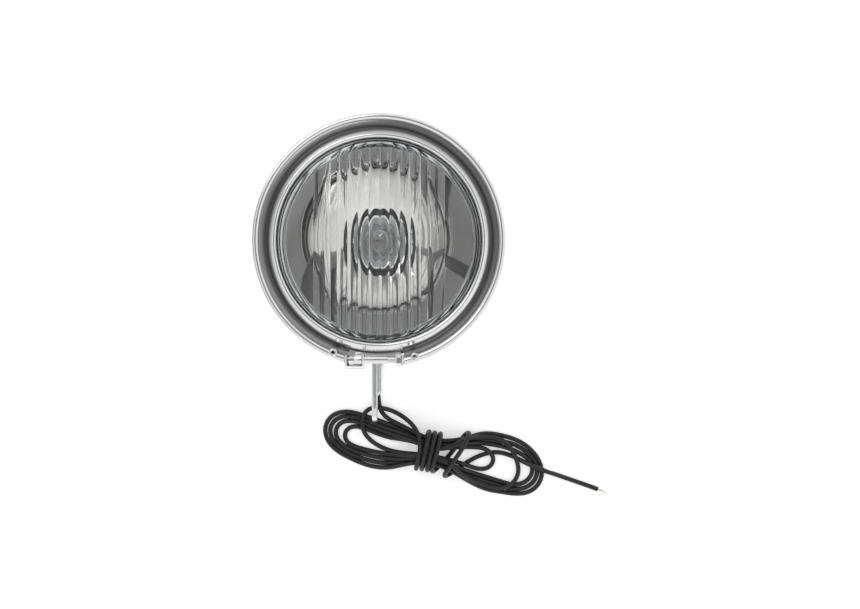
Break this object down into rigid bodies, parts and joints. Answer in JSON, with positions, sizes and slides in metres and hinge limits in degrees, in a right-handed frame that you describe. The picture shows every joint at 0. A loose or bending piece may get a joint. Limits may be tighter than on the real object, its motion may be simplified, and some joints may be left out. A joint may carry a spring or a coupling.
{
  "type": "fog light",
  "caption": "Round chrome fog light with a clamped rim, fluted glass lens, halogen bulb, one-bolt tilting strap and a single coiled lead.",
  "frame": {"origin": "centre of the bowl's flat back face, which the lamp lies on", "axes": "+Z out through the lens along the optical axis, -Y towards the mounting strap, +X to the right seen from the front with the strap down"},
  "size_m": [0.1852, 0.1994, 0.0892],
  "materials": {
    "chrome": "polished",
    "bowl_chrome": "polished",
    "zinc": "bright zinc plated",
    "steel": "plain",
    "spring_steel": "plain",
    "aluminised": "vacuum aluminised",
    "lens_glass": "clear pressed glass",
    "bulb_glass": "clear quartz",
    "tungsten": "plain",
    "black_rubber": "matt",
    "grey_rubber": "matt",
    "wire_black": "satin insulation",
    "socket_sleeve": "satin",
    "brass": "plain",
    "copper": "bare strands",
    "blackened": "blackened"
  },
  "bodies": {
    "housing": {"housing_bowl": "bowl_chrome", "backing_plate": "blackened", "strap_clevis": "zinc", "clevis_rivets": "zinc", "pivot_bolt": "zinc", "pivot_nut": "zinc", "pivot_lock_washer": "spring_steel", "pivot_washers": "zinc", "housing_gasket": "black_rubber", "wire_grommet": "black_rubber", "inner_lead": "wire_black", "lead_socket": "socket_sleeve", "wire_tail": "wire_black", "wire_hank": "wire_black", "wire_end": "wire_black", "wire_strands": "copper"},
    "strap": {"mounting_strap": "zinc"},
    "optic": {"rim": "chrome", "clamp_tab_left": "chrome", "clamp_tab_right": "chrome", "tab_rivets": "chrome", "clamp_nut": "chrome", "lens": "lens_glass", "lens_gasket": "grey_rubber", "reflector": "aluminised", "optic_clips": "spring_steel", "bulb_holder": "blackened", "holder_rivets": "steel", "clip_bracket": "steel", "clip_catch": "spring_steel", "bulb_base": "steel", "bulb_glass": "bulb_glass", "bulb_filament": "tungsten", "bulb_lead": "wire_black", "bulb_plug": "brass"},
    "clamp_screw": {"clamp_screw": "chrome"},
    "bulb_clip": {"bulb_clip": "spring_steel"}
  },
  "joints": [
    {"name": "tilt", "type": "hinge", "parent": "housing", "child": "strap", "pos_m": [-0.0036, -0.057, 0.026], "axis": [-1, 0, 0], "range_deg": [-10, 50]},
    {"name": "optic_pull", "type": "slide", "parent": "housing", "child": "optic", "axis": [0, 0, 1], "range_m": [0, 0.08]},
    {"name": "clamp_turn", "type": "hinge", "parent": "optic", "child": "clamp_screw", "pos_m": [0, -0.06, 0.0824], "axis": [1, 0, 0], "continuous": true},
    {"name": "clip_open", "type": "hinge", "parent": "optic", "child": "bulb_clip", "pos_m": [0, 0.0175, 0.0409], "axis": [1, 0, 0], "range_deg": [0, 75]}
  ]
}
